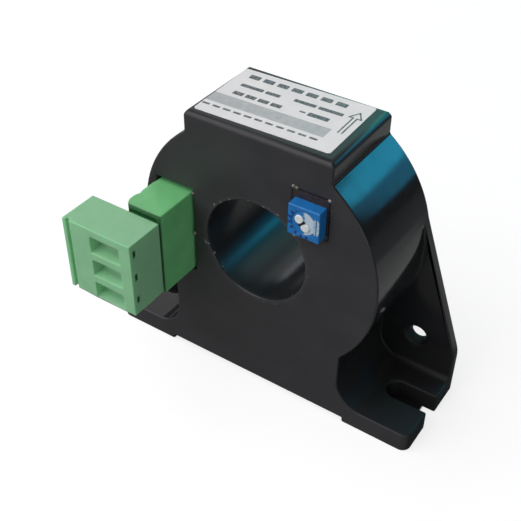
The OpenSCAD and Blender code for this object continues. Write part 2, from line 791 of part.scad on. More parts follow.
// Contact: a strip through the cage, a step behind it and the socket that grips the pin
module plug_contact(n) {
    z = pole_z(n);
    r = socket_w / 2;
    hole = pin_w / 2 + socket_gap;
    color(brass) {
        box([strip_x0, chamber_y0 + eps, z - strip_w / 2], [strip_x1, step_y1, z + strip_w / 2]);
        difference() {
            union() {
                box([strip_x0, step_y0, z - strip_w / 2], [pin_x + r, step_y1, z + strip_w / 2]);
                box([pin_x - r, step_y1 - eps, z - r], [pin_x + r, shoulder_y + tongue_l - seat_gap, z + r]);
            }
            box([pin_x - hole, step_y1, z - hole], [pin_x + hole, shoulder_y + tongue_l, z + hole]);
        }
    }
}
module plug_contact_1() { plug_contact(1); }
module plug_contact_2() { plug_contact(2); }
module plug_contact_3() { plug_contact(3); }

module clamp_screw(n) {
    color(metal) translate([head_x, screw_y, pole_z(n)]) difference() {
        rotate([0, 90, 0]) union() {
            translate([0, 0, -screw_head_t]) cylinder(r = screw_head_d / 2, h = screw_head_t);
            translate([0, 0, -eps]) cylinder(r = screw_d / 2, h = strip_x0 - 2 * cage_gap - head_x);
        }
        box([-screw_head_t - eps, -screw_slot_w / 2, -screw_head_d],
            [screw_slot_d - screw_head_t, screw_slot_w / 2, screw_head_d]);
    }
}
module clamp_screw_1() { clamp_screw(1); }
module clamp_screw_2() { clamp_screw(2); }
module clamp_screw_3() { clamp_screw(3); }

// Cage that slides towards the screw's head and presses the wire on the strip
module clamp_cage(n) {
    z = pole_z(n);
    color(metal) difference() {
        box([cage_x0, cage_y0, z - cage_w / 2], [cage_x1, cage_y1, z + cage_w / 2]);
        box([cage_x0 + cage_nut_t, cage_y0 - eps, z - cage_w / 2 + cage_side_t],
            [cage_x1 - cage_bar_t, cage_y1 + eps, z + cage_w / 2 - cage_side_t]);
        translate([cage_x0 - eps, screw_y, z]) rotate([0, 90, 0])
            cylinder(r = screw_d / 2 + screw_gap, h = cage_nut_t + 2 * eps);
    }
}
module clamp_cage_1() { clamp_cage(1); }
module clamp_cage_2() { clamp_cage(2); }
module clamp_cage_3() { clamp_cage(3); }

housing();
rear_cover();
label();
pcb();
core();
coil();
hall_element();
header();
header_pin_1();
header_pin_2();
header_pin_3();
trimmer_body();
trimmer_rotor();
trimmer_pins();
op_amp();
transistor_npn();
transistor_pnp();
capacitor_1();
capacitor_2();
diode_1();
diode_2();
resistor_1();
resistor_2();
resistor_3();
resistor_4();
plug_body();
plug_contact_1();
plug_contact_2();
plug_contact_3();
clamp_screw_1();
clamp_screw_2();
clamp_screw_3();
clamp_cage_1();
clamp_cage_2();
clamp_cage_3();
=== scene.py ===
import bpy
import bmesh
from math import cos, pi, radians, sin, tau
from mathutils import Matrix, Vector


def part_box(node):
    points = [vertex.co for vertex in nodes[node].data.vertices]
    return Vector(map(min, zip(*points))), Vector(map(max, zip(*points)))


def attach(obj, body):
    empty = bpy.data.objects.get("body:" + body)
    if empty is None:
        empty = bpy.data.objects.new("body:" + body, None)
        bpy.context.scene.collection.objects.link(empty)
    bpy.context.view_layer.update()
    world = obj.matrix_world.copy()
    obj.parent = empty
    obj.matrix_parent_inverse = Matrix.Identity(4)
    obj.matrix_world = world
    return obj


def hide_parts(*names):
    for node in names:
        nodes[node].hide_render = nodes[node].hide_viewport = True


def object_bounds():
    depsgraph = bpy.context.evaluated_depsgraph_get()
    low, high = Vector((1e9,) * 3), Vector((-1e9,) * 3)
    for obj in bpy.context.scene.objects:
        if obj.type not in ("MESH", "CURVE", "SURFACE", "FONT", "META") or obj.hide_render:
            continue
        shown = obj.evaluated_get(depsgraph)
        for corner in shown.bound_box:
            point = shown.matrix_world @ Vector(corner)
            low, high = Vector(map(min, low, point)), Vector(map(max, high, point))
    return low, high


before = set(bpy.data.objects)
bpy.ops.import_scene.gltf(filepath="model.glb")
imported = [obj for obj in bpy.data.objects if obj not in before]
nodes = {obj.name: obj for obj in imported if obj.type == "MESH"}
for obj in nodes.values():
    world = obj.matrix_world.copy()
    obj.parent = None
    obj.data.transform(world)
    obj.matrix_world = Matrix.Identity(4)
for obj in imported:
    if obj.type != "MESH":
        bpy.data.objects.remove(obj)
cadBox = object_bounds()
mm = 0.001  # settings are in mm where nothing else is said
scene = bpy.context.scene
scene.view_settings.view_transform = "Standard"

# The camera at the photograph's view: angles in degrees
cameraView = {"azimuth": 33.33, "elevation": 39.58, "roll": 0.652, "distance": 173.7,
              "target": (-5.30, 0.30, -11.31), "lens": 62.19, "sensor": 36, "clip": 10}


def placeCamera(view):
    azimuth, elevation = radians(view["azimuth"]), radians(view["elevation"])
    back = Vector((sin(azimuth) * cos(elevation), -cos(azimuth) * cos(elevation), sin(elevation)))
    camera = bpy.data.objects.new("camera", bpy.data.cameras.new("camera"))
    scene.collection.objects.link(camera)
    turn = back.to_track_quat("Z", "Y").to_matrix().to_4x4() @ Matrix.Rotation(radians(view["roll"]), 4, "Z")
    camera.matrix_world = Matrix.Translation((Vector(view["target"]) + back * view["distance"]) * mm) @ turn
    camera.data.sensor_width = view["sensor"]
    camera.data.lens = view["lens"]
    camera.data.clip_start = view["clip"] * mm
    scene.camera = camera


placeCamera(cameraView)
print("camera placed")


def toLinear(hexColour):
    channels = [int(hexColour[i:i + 2], 16) / 255 for i in (1, 3, 5)]
    return (*[c / 12.92 if c <= 0.04045 else ((c + 0.055) / 1.055) ** 2.4 for c in channels], 1)


def addNode(tree, kind, inputs=None, **settings):
    node = tree.nodes.new(kind)
    for name, value in settings.items():
        setattr(node, name, value)
    for name, value in (inputs or {}).items():
        if isinstance(value, bpy.types.NodeSocket):
            tree.links.new(value, node.inputs[name])
        else:
            node.inputs[name].default_value = value
    return node


def newMaterial(name, shaderValues):
    material = bpy.data.materials.new(name)
    material.use_nodes = True
    tree = material.node_tree
    shader = tree.nodes["Principled BSDF"]
    for socket, value in shaderValues.items():
        shader.inputs[socket].default_value = value
    place = addNode(tree, "ShaderNodeTexCoord").outputs["Object"]
    return material, tree, shader, place


# The part of a noise's values that a pattern uses, since few are near 0 or 1
noiseSpan = (0.3, 0.7)


# A pattern whose features are a given number of millimetres across, from low to high
def mottle(tree, place, size, low, high, detail=3):
    noise = addNode(tree, "ShaderNodeTexNoise", {"Vector": place, "Scale": 1 / (size * mm), "Detail": detail})
    return addNode(tree, "ShaderNodeMapRange", {
        "Value": noise.outputs[0], "From Min": noiseSpan[0], "From Max": noiseSpan[1],
        "To Min": low, "To Max": high}).outputs[0]


# Two colours that drift into each other in patches of a given size
def patchyColour(tree, place, size, first, second):
    patches = mottle(tree, place, size, 0, 1)
    return addNode(tree, "ShaderNodeMix", {"Factor": patches, "A": toLinear(first), "B": toLinear(second)},
                   data_type="RGBA").outputs["Result"]


# Colour clouds, patches of wear in the gloss, a fine grain, and a slow swell where the walls sank in the mould
def mouldedPlastic(name, look):
    material, tree, shader, place = newMaterial(name, {"IOR": look["ior"], **look.get("shader", {})})
    colour = patchyColour(tree, place, look["cloudSize"], look["colour"], look["shade"])
    rough = mottle(tree, place, look["wearSize"], look["smooth"], look["rough"])
    grain = mottle(tree, place, look["grainSize"], 0, 1)
    swell = mottle(tree, place, look["swellSize"], 0, 1, detail=0)
    fine = addNode(tree, "ShaderNodeBump", {"Height": grain, "Distance": look["grainDepth"] * mm, "Strength": 1})
    bump = addNode(tree, "ShaderNodeBump", {"Height": swell, "Distance": look["swellDepth"] * mm, "Strength": 1,
                                            "Normal": fine.outputs[0]})
    tree.links.new(colour, shader.inputs["Base Color"])
    tree.links.new(rough, shader.inputs["Roughness"])
    tree.links.new(bump.outputs[0], shader.inputs["Normal"])
    return material


# Lays a second colour over a plastic where an axis of the part runs from one value to another, with a ragged edge
def tintAlong(material, look):
    tree = material.node_tree
    place = addNode(tree, "ShaderNodeTexCoord").outputs["Object"]
    reach = addNode(tree, "ShaderNodeSeparateXYZ", {"Vector": place}).outputs[look["axis"]]
    stray = mottle(tree, place, look["raggedSize"], -look["ragged"] * mm, look["ragged"] * mm)
    edge = addNode(tree, "ShaderNodeMath", {0: reach, 1: stray}).outputs[0]
    share = addNode(tree, "ShaderNodeMapRange", {"Value": edge, "From Min": look["from"] * mm,
                                                 "From Max": look["to"] * mm}).outputs[0]
    baseColour = tree.nodes["Principled BSDF"].inputs["Base Color"]
    colour = addNode(tree, "ShaderNodeMix", {"Factor": share, "A": baseColour.links[0].from_socket,
                                             "B": toLinear(look["tint"])}, data_type="RGBA")
    tree.links.new(colour.outputs["Result"], baseColour)


# Front faces come from an eroded half of the mould, so they are duller; their lighter grey is painted light. The
# bore comes from a plain core pin, the block's top from a ground insert, and the right foot from a less polished
# part of the mould, with its darker colour painted shade. The lip round the bore gets light grey spots as painted
# glints
def mouldFinishAndPaintedLight(material, look):
    tree = material.node_tree
    shader = tree.nodes["Principled BSDF"]
    rough, baseColour = shader.inputs["Roughness"], shader.inputs["Base Color"]
    coordinates = addNode(tree, "ShaderNodeTexCoord").outputs
    place = coordinates["Object"]
    axes = addNode(tree, "ShaderNodeSeparateXYZ", {"Vector": place}).outputs
    flat = addNode(tree, "ShaderNodeCombineXYZ", {"X": axes["X"], "Z": axes["Z"]}).outputs[0]
    reach = addNode(tree, "ShaderNodeVectorMath", {0: flat}, operation="LENGTH").outputs["Value"]
    measures = {"X": axes["X"], "Y": axes["Y"], "Z": axes["Z"], "reach": reach}
    inside = {}
    for zone, (measure, start, end) in look["zones"].items():
        inside[zone] = addNode(tree, "ShaderNodeMapRange", {"Value": measures[measure], "From Min": start * mm,
                                                            "From Max": end * mm}).outputs[0]
    facing = addNode(tree, "ShaderNodeSeparateXYZ", {"Vector": coordinates["Normal"]}).outputs["Y"]
    turned = addNode(tree, "ShaderNodeMapRange", {"Value": facing, "From Min": look["turned"][0],
                                                  "From Max": look["turned"][1]}).outputs[0]
    # Light grey spots on the lip round the bore: painted glints
    specks = mottle(tree, place, look["spotSize"], 0, 1)
    spots = addNode(tree, "ShaderNodeMapRange", {"Value": specks, "From Min": look["spotFrom"],
                                                 "To Min": look["spotFaint"]}).outputs[0]
    for zone, other in (("front", turned), ("foot", inside["right"]), ("lip", inside["mouth"]), ("lip", spots)):
        inside[zone] = addNode(tree, "ShaderNodeMath", {0: inside[zone], 1: other},
                               operation="MULTIPLY").outputs[0]
    roughness, colour = rough.links[0].from_socket, baseColour.links[0].from_socket
    for zone, value in look["roughness"].items():
        roughness = addNode(tree, "ShaderNodeMapRange", {"Value": inside[zone], "To Min": roughness,
                                                         "To Max": value}).outputs[0]
    # Faces turned to the front get a lighter grey: painted light
    frontPaintedLightGrey = patchyColour(tree, place, look["frontPatch"], *look["frontPaintedLightColours"])
    # The right foot's darker colour is painted shade, and the lip's light grey spots are painted glints
    for zone, tint in (("foot", toLinear(look["footShadeColour"])), ("front", frontPaintedLightGrey),
                       ("lip", toLinear(look["lipGlintColour"]))):
        colour = addNode(tree, "ShaderNodeMix", {"Factor": inside[zone], "A": colour, "B": tint},
                         data_type="RGBA").outputs["Result"]
    tree.links.new(roughness, rough)
    tree.links.new(colour, baseColour)


# Glossy ABS from a polished mould: near black, with clean reflections that sinks in the walls bend a little
blackAbs = mouldedPlastic("glossy black ABS", {
    "colour": "#232326", "shade": "#28282b", "ior": 1.38, "cloudSize": 9, "wearSize": 2.5,
    "smooth": 0.09, "rough": 0.17, "grainSize": 0.25, "grainDepth": 0.0006, "swellSize": 9, "swellDepth": 0.012})
# A zone is along an axis, or by the reach from the bore's axis: from where it starts to where it is full
mouldFinishAndPaintedLight(blackAbs, {
    "zones": {"front": ("Y", 2, 0), "bore": ("reach", 10.5, 10.4), "top": ("Z", 22.4, 22.7),
              "foot": ("Z", -19, -21), "right": ("X", -10, -6),
              "lip": ("reach", 11.2, 11), "mouth": ("Y", -8.9, -9)},
    "roughness": {"foot": 0.6, "front": 0.42, "bore": 0.25, "top": 0.38},
    # The lip's spot colour is painted glints, the front colours are painted light on faces turned to the front,
    # and the foot colour is painted shade on the right foot
    "turned": (-0.5, -0.8), "spotSize": 1.6, "spotFrom": 0.75, "spotFaint": 0.02, "lipGlintColour": "#a5a5a8",
    "frontPatch": 9, "frontPaintedLightColours": ("#333235", "#3b3a3d"), "footShadeColour": "#1a1a1c"})
# The cover is the same ABS from a plainer mould, so it is duller
coverAbs = mouldedPlastic("satin black ABS", {
    "colour": "#121215", "shade": "#18181b", "ior": 1.5, "cloudSize": 7, "wearSize": 3,
    "smooth": 0.3, "rough": 0.42, "grainSize": 0.3, "grainDepth": 0.006, "swellSize": 8, "swellDepth": 0.01})
# Light goes a little way into both green plastics, and most of what comes out again is green
greenDepth = {"Subsurface Weight": 0.4, "Subsurface Radius": (0.3, 1, 0.45), "Subsurface Scale": 0.002}
# Glass-filled PBT: a satin face with a fine grain and faint flow clouds
headerPbt = mouldedPlastic("green PBT", {
    "colour": "#7ed08b", "shade": "#74c581", "ior": 1.55, "cloudSize": 4, "wearSize": 1.5, "shader": greenDepth,
    "smooth": 0.36, "rough": 0.5, "grainSize": 0.22, "grainDepth": 0.005, "swellSize": 5, "swellDepth": 0.01})
# The header's front rim is painted dark green: painted shade in the gap to the plug
tintAlong(headerPbt, {"axis": "Y", "from": -18.1, "to": -18.25, "ragged": 0.01, "raggedSize": 0.6,
                      "tint": "#2b6639"})
# Polyamide of the plug: paler and more matt than the header
plugPolyamide = mouldedPlastic("pale green polyamide", {
    "colour": "#99d3a4", "shade": "#92cc9d", "ior": 1.53, "cloudSize": 4, "wearSize": 1.5, "shader": greenDepth,
    "smooth": 0.42, "rough": 0.56, "grainSize": 0.22, "grainDepth": 0.006, "swellSize": 5, "swellDepth": 0.012})
# From its shoulder back into the header the plug is painted dark green: painted shade in the gap
tintAlong(plugPolyamide, {"axis": "Y", "from": -18.9, "to": -18.8, "ragged": 0.01, "raggedSize": 0.6,
                          "tint": "#2f6b3e"})
# Dark green for the bottoms of the test slots: painted shade where little light comes
slotShadePolyamide = mouldedPlastic("shaded green polyamide", {
    "colour": "#163a22", "shade": "#1b4429", "ior": 1.53, "cloudSize": 2, "wearSize": 1,
    "smooth": 0.5, "rough": 0.6, "grainSize": 0.22, "grainDepth": 0.004, "swellSize": 2, "swellDepth": 0.004})
# Case of the trimmer: blue thermoplastic with a smooth satin skin, painted near black behind the front face
# as painted shade inside its window
trimmerCasePlastic = mouldedPlastic("blue PBT", {
    "colour": "#1c79c4", "shade": "#186eb6", "ior": 1.46, "cloudSize": 2.5, "wearSize": 1,
    "smooth": 0.28, "rough": 0.4, "grainSize": 0.18, "grainDepth": 0.003, "swellSize": 3, "swellDepth": 0.004})
# Behind the housing's front face the case is painted near black: painted shade
tintAlong(trimmerCasePlastic, {"axis": "Y", "from": -9.75, "to": -9.5, "ragged": 0.1, "raggedSize": 0.6,
                               "tint": "#10131c"})
# Casting resin round the trimmer: dark brown, glossy, and uneven where it set against the walls
darkResin = mouldedPlastic("dark casting resin", {
    "colour": "#2a211f", "shade": "#3a2d29", "ior": 1.5, "cloudSize": 1.2, "wearSize": 0.8,
    "smooth": 0.15, "rough": 0.4, "grainSize": 0.5, "grainDepth": 0.03, "swellSize": 1.3, "swellDepth": 0.08})
# The same resin in small drops, coloured pale grey as painted glints
glintResin = mouldedPlastic("casting resin with painted glints", {
    "colour": "#a39d9b", "shade": "#4a4442", "ior": 1.5, "cloudSize": 0.5, "wearSize": 0.4,
    "smooth": 0.1, "rough": 0.3, "grainSize": 0.3, "grainDepth": 0.01, "swellSize": 0.6, "swellDepth": 0.03})
# The rotor's lobes: white nylon, a little waxy
rotorNylon = mouldedPlastic("white nylon", {
    "colour": "#eef1f2", "shade": "#e2e8ec", "ior": 1.53, "cloudSize": 1.2, "wearSize": 0.8,
    "smooth": 0.35, "rough": 0.5, "grainSize": 0.15, "grainDepth": 0.002, "swellSize": 2, "swellDepth": 0.003})
# The rotor's disc: blue like the case on one side, with a pale patch on the other
blueWhiteNylon = mouldedPlastic("blue and white nylon", {
    "colour": "#1c79c4", "shade": "#186eb6", "ior": 1.5, "cloudSize": 1.2, "wearSize": 0.8,
    "smooth": 0.35, "rough": 0.5, "grainSize": 0.15, "grainDepth": 0.002, "swellSize": 2, "swellDepth": 0.003})
tintAlong(blueWhiteNylon, {"axis": "X", "from": 10.6, "to": 11, "ragged": 0.3, "raggedSize": 0.6,
                           "tint": "#c4d6e4"})
# Bottom of the rotor's slot: a near black slab of painted shade on the nylon
slotShadeNylon = mouldedPlastic("nylon with painted slot shade", {
    "colour": "#14161a", "shade": "#23262c", "ior": 1.5, "cloudSize": 0.4, "wearSize": 0.6,
    "smooth": 0.4, "rough": 0.6, "grainSize": 0.2, "grainDepth": 0.002, "swellSize": 2, "swellDepth": 0.002})
# A dab of lacquer beside the rotor, pale and a little uneven
sealLacquer = mouldedPlastic("seal lacquer", {
    "colour": "#bcd2e4", "shade": "#8fb7da", "ior": 1.5, "cloudSize": 0.9, "wearSize": 0.8,
    "smooth": 0.3, "rough": 0.5, "grainSize": 0.2, "grainDepth": 0.004, "swellSize": 1, "swellDepth": 0.01})
# Pad printing on the trimmer's case
navyInk = mouldedPlastic("navy pad printing ink", {
    "colour": "#0b2f6b", "shade": "#123c80", "ior": 1.5, "cloudSize": 0.5, "wearSize": 1,
    "smooth": 0.4, "rough": 0.55, "grainSize": 0.2, "grainDepth": 0.001, "swellSize": 3, "swellDepth": 0.002})
# Polyester label film, white and nearly matt
labelPolyester = mouldedPlastic("white polyester film", {
    "colour": "#fcfbfc", "shade": "#f5f4f6", "ior": 1.35, "cloudSize": 6, "wearSize": 2,
    "shader": {"Specular IOR Level": 0.15},
    "smooth": 0.5, "rough": 0.6, "grainSize": 0.3, "grainDepth": 0.001, "swellSize": 6, "swellDepth": 0.006})
# Thermal transfer ink: thin, so the white film shows through in specks, drawn coarser than the real ones
labelInk = mouldedPlastic("black transfer ink", {
    "colour": "#2c2c31", "shade": "#8d8f95", "ior": 1.5, "cloudSize": 0.45, "wearSize": 1,
    "smooth": 0.4, "rough": 0.55, "grainSize": 0.2, "grainDepth": 0.001, "swellSize": 3, "swellDepth": 0.002})
# The same ink in a fine screen, so it looks grey
greyInk = mouldedPlastic("grey transfer ink", {
    "colour": "#b9babd", "shade": "#c9cacc", "ior": 1.5, "cloudSize": 0.9, "wearSize": 1,
    "smooth": 0.4, "rough": 0.55, "grainSize": 0.2, "grainDepth": 0.001, "swellSize": 3, "swellDepth": 0.002})
# Moulding compound of the chips: matt charcoal with a sandy skin
chipEpoxy = mouldedPlastic("moulding epoxy", {
    "colour": "#1c1c1f", "shade": "#252528", "ior": 1.55, "cloudSize": 1, "wearSize": 0.8,
    "smooth": 0.45, "rough": 0.6, "grainSize": 0.12, "grainDepth": 0.008, "swellSize": 2, "swellDepth": 0.003})
# Heat-shrink sleeve of an electrolytic can: dark blue and glossy
canSleeve = mouldedPlastic("PVC sleeve", {
    "colour": "#1b2a55", "shade": "#223364", "ior": 1.52, "cloudSize": 3, "wearSize": 1,
    "smooth": 0.2, "rough": 0.3, "grainSize": 0.4, "grainDepth": 0.004, "swellSize": 2, "swellDepth": 0.01})


# Metal with fine streaks along the way it was drawn, rolled or turned, and patches of tarnish
def drawnMetal(name, look):
    material, tree, shader, place = newMaterial(name, {"Metallic": 1})
    stretched = addNode(tree, "ShaderNodeMapping", {"Vector": place, "Scale": look["stretch"]}).outputs[0]
    streak = mottle(tree, stretched, look["streakSize"], 0, 1)
    colour = patchyColour(tree, place, look["tarnishSize"], look["colour"], look["tarnish"])
    rough = addNode(tree, "ShaderNodeMapRange", {"Value": streak, "To Min": look["smooth"],
                                                 "To Max": look["rough"]})
    bump = addNode(tree, "ShaderNodeBump", {"Height": streak, "Distance": look["streakDepth"] * mm, "Strength": 1})
    tree.links.new(colour, shader.inputs["Base Color"])
    tree.links.new(rough.outputs[0], shader.inputs["Roughness"])
    tree.links.new(bump.outputs[0], shader.inputs["Normal"])
    return material


# Tin on drawn brass: bright, with streaks along the pin
tinPlate = drawnMetal("tin plate", {
    "colour": "#d8d6cf", "tarnish": "#c2c0b8", "tarnishSize": 1.5, "smooth": 0.22, "rough": 0.38,
    "stretch": (6, 1, 6), "streakSize": 0.8, "streakDepth": 0.003})
# Rolled brass strip, pressed to shape
rolledBrass = drawnMetal("rolled brass", {
    "colour": "#d2b06a", "tarnish": "#b8935a", "tarnishSize": 1.2, "smooth": 0.24, "rough": 0.4,
    "stretch": (1, 6, 6), "streakSize": 0.8, "streakDepth": 0.003})
# Zinc on steel: bluish, with turning marks round the screw
zincSteel = drawnMetal("zinc plated steel", {
    "colour": "#c9ccd0", "tarnish": "#b2b5ba", "tarnishSize": 1, "smooth": 0.25, "rough": 0.42,
    "stretch": (8, 1, 1), "streakSize": 0.7, "streakDepth": 0.002})


# Rings or turns round the bore: a sine of the angle or of the distance from the axis
def roundTheBore(name, look):
    material, tree, shader, place = newMaterial(name, look["shader"])
    axes = addNode(tree, "ShaderNodeSeparateXYZ", {"Vector": place}).outputs
    if "turns" in look:
        angle = addNode(tree, "ShaderNodeMath", {0: axes["Z"], 1: axes["X"]}, operation="ARCTAN2").outputs[0]
        phase = addNode(tree, "ShaderNodeMath", {0: angle, 1: look["turns"]}, operation="MULTIPLY").outputs[0]
    else:
        flat = addNode(tree, "ShaderNodeCombineXYZ", {"X": axes["X"], "Z": axes["Z"]}).outputs[0]
        reach = addNode(tree, "ShaderNodeVectorMath", {0: flat}, operation="LENGTH").outputs["Value"]
        phase = addNode(tree, "ShaderNodeMath", {0: reach, 1: tau / (look["layer"] * mm)},
                        operation="MULTIPLY").outputs[0]
    wave = addNode(tree, "ShaderNodeMath", {0: phase}, operation="SINE").outputs[0]
    height = addNode(tree, "ShaderNodeMapRange", {"Value": wave, "From Min": -1}).outputs[0]
    colour = addNode(tree, "ShaderNodeMix", {"Factor": height, "A": toLinear(look["groove"]),
                                             "B": toLinear(look["colour"])}, data_type="RGBA")
    bump = addNode(tree, "ShaderNodeBump", {"Height": height, "Distance": look["depth"] * mm, "Strength": 1})
    rough = mottle(tree, place, look["wearSize"], look["smooth"], look["rough"])
    tree.links.new(colour.outputs["Result"], shader.inputs["Base Color"])
    tree.links.new(rough, shader.inputs["Roughness"])
    tree.links.new(bump.outputs[0], shader.inputs["Normal"])
    return material


# Copper wire in amber enamel: 290 turns side by side, 0.35 mm apart at the middle of the winding. The dark brown
# in the grooves between the turns is painted shade
enamelledCopper = roundTheBore("enamelled copper wire", {
    "shader": {"Metallic": 0.6, "Coat Weight": 0.6, "Coat Roughness": 0.15}, "turns": 290, "depth": 0.12,
    "colour": "#b4622e", "groove": "#4a2210", "wearSize": 2, "smooth": 0.25, "rough": 0.4})
# Silicon steel strip, wound on itself: layers drawn 0.25 mm apart, coarser than the real ones
coreSteel = roundTheBore("wound silicon steel", {
    "shader": {"Metallic": 0.9}, "layer": 0.25, "depth": 0.03,
    "colour": "#7d828a", "groove": "#34373c", "wearSize": 2, "smooth": 0.25, "rough": 0.4})


# FR4 board under green solder mask, with tracks that show through as paler lines
def solderMask(look):
    material, tree, shader, place = newMaterial("green solder mask", look["shader"])
    upright = addNode(tree, "ShaderNodeMapping", {"Vector": place, "Rotation": (pi / 2, 0, 0)}).outputs[0]
    tracks = addNode(tree, "ShaderNodeTexBrick", {
        "Vector": upright, "Scale": 1 / (look["pitch"] * mm), "Color1": toLinear(look["copper"]),
        "Color2": toLinear(look["mask"]), "Mortar": toLinear(look["mask"]), "Mortar Size": look["gap"],
        "Brick Width": look["length"], "Row Height": look["width"]}).outputs
    bump = addNode(tree, "ShaderNodeBump", {"Height": tracks["Fac"], "Distance": -look["relief"] * mm,
                                            "Strength": 1})
    tree.links.new(tracks["Color"], shader.inputs["Base Color"])
    tree.links.new(bump.outputs[0], shader.inputs["Normal"])
    return material


# The tracks' length, width and gap are shares of the pitch
boardMask = solderMask({
    "shader": {"Roughness": 0.28, "Coat Weight": 0.4}, "pitch": 2.54, "length": 2.4, "width": 0.5, "gap": 0.07,
    "relief": 0.03, "mask": "#14582c", "copper": "#1f7a3e"})
print("materials made")

carriedOver = {"rear_cover": coverAbs, "pcb": boardMask, "core": coreSteel, "coil": enamelledCopper,
               "capacitor_1": canSleeve, "capacitor_2": canSleeve, "trimmer_pins": tinPlate}
for nodeName in ("hall_element", "op_amp", "transistor_npn", "transistor_pnp", "diode_1", "diode_2",
                 "resistor_1", "resistor_2", "resistor_3", "resistor_4"):
    carriedOver[nodeName] = chipEpoxy
for n in (1, 2, 3):
    carriedOver.update({f"header_pin_{n}": tinPlate, f"plug_contact_{n}": rolledBrass,
                        f"clamp_screw_{n}": zincSteel, f"clamp_cage_{n}": zincSteel})
for nodeName, material in carriedOver.items():
    nodes[nodeName].data.materials.clear()
    nodes[nodeName].data.materials.append(material)

# Cleaning a CAD mesh: corners merged before and after rounding, faces made one below an angle, shading
# smooth below another (degrees), and how near a corner is to a plane or circle that it lies on
meshCare = {"merge": 0.002, "mergeRounded": 0.004, "flat": 0.6, "smooth": 35, "near": 0.05}
near = meshCare["near"]


def newPiece(name, bm, material, body):
    mesh = bpy.data.meshes.new(name)
    bmesh.ops.recalc_face_normals(bm, faces=bm.faces)
    bm.to_mesh(mesh)
    bm.free()
    mesh.materials.append(material)
    mesh.shade_smooth()
    mesh.set_sharp_from_angle(angle=radians(meshCare["smooth"]))
    piece = bpy.data.objects.new(name, mesh)
    scene.collection.objects.link(piece)
    evenShade = piece.modifiers.new("evenShade", "WEIGHTED_NORMAL")
    evenShade.keep_sharp = True
    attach(piece, body)
    return piece


# A copy of a CAD node with its hard edges rounded, kept inside the node's own box. Each pass takes the edges
# between two angles
def roundedCopy(name, look):
    bm = bmesh.new()
    bm.from_mesh(nodes[look["node"]].data)
    bmesh.ops.remove_doubles(bm, verts=bm.verts, dist=meshCare["merge"] * mm)
    bmesh.ops.dissolve_limit(bm, angle_limit=radians(meshCare["flat"]), verts=bm.verts, edges=bm.edges)
    if "reshape" in look:
        look["reshape"](bm)
    bmesh.ops.triangulate(bm, faces=bm.faces)
    for fromAngle, toAngle, edge, reach in look["passes"]:
        hard = [e for e in bm.edges if len(e.link_faces) == 2
                and radians(fromAngle) < e.calc_face_angle() <= radians(toAngle)
                and all(Vector((v.co.x, v.co.z)).length < reach * mm for v in e.verts)]
        bmesh.ops.bevel(bm, geom=hard, offset=edge * mm, offset_type="OFFSET", segments=look["segments"],
                        profile=0.5, affect="EDGES", material=-1, clamp_overlap=False, loop_slide=False)
    bmesh.ops.remove_doubles(bm, verts=bm.verts, dist=meshCare["mergeRounded"] * mm)
    low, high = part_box(look["node"])
    for v in bm.verts:
        v.co = [min(max(c, lo), hi) for c, lo, hi in zip(v.co, low, high)]
    piece = newPiece(name, bm, look["material"], look["body"])
    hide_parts(look["node"])
    print(name, len(piece.data.polygons), "faces")


# The wire entries: their backs go deeper and their floors slope up to the cage, as funnels
plugEntry = {"back": -25.25, "deeper": 0.8, "floor": -2.15, "rise": 0.45, "poles": (2.93, -2.15, -7.23),
             "left": -23.5, "right": -15.5}


def deepenEntries(bm):
    back = [v for v in bm.verts if abs(v.co.y - plugEntry["back"] * mm) < near * mm
            and plugEntry["left"] * mm < v.co.x < plugEntry["right"] * mm]
    low = [v for v in back if any(abs(v.co.z - (pole + plugEntry["floor"]) * mm) < near * mm
                                  for pole in plugEntry["poles"])]
    bmesh.ops.translate(bm, verts=back, vec=(0, plugEntry["deeper"] * mm, 0))
    bmesh.ops.translate(bm, verts=low, vec=(0, 0, plugEntry["rise"] * mm))
    print("entry corners", len(back), len(low))


# The rear mouth of the bore is only just broken, where the front one is well rounded, and the wings' holes
# get a little narrower towards the back, as the pins of the mould did
boreMouth = {"radius": 10.25, "chamfer": 0.8, "back": 9.75, "kept": 0.15}
wingHole = {"x": 25.5, "z": -20.3, "radius": 2.2, "narrowed": 0.66}


def shapeRear(bm):
    radius, chamfer, back = boreMouth["radius"], boreMouth["chamfer"], boreMouth["back"]
    for side in (-1, 1):
        centre = Vector((side * wingHole["x"], 0, wingHole["z"])) * mm
        rim = [v for v in bm.verts if v.co.y > (back - near) * mm
               and Vector((v.co.x - centre.x, v.co.z - centre.z)).length < (wingHole["radius"] + near) * mm]
        bmesh.ops.scale(bm, verts=rim, vec=(wingHole["narrowed"], 1, wingHole["narrowed"]),
                        space=Matrix.Translation(-centre))
    wide = [v for v in bm.verts if Vector((v.co.x, v.co.z)).length < (radius + chamfer + near) * mm
            and v.co.y > (back - near) * mm]
    deep = [v for v in bm.verts if Vector((v.co.x, v.co.z)).length < (radius + near) * mm
            and v.co.y > (back - chamfer - near) * mm and v not in wide]
    scale = (radius + boreMouth["kept"]) / (radius + chamfer)
    bmesh.ops.scale(bm, verts=wide, vec=(scale, 1, scale))
    bmesh.ops.translate(bm, verts=deep, vec=(0, (chamfer - boreMouth["kept"]) * mm, 0))
    print("rear mouth", len(wide), len(deep))


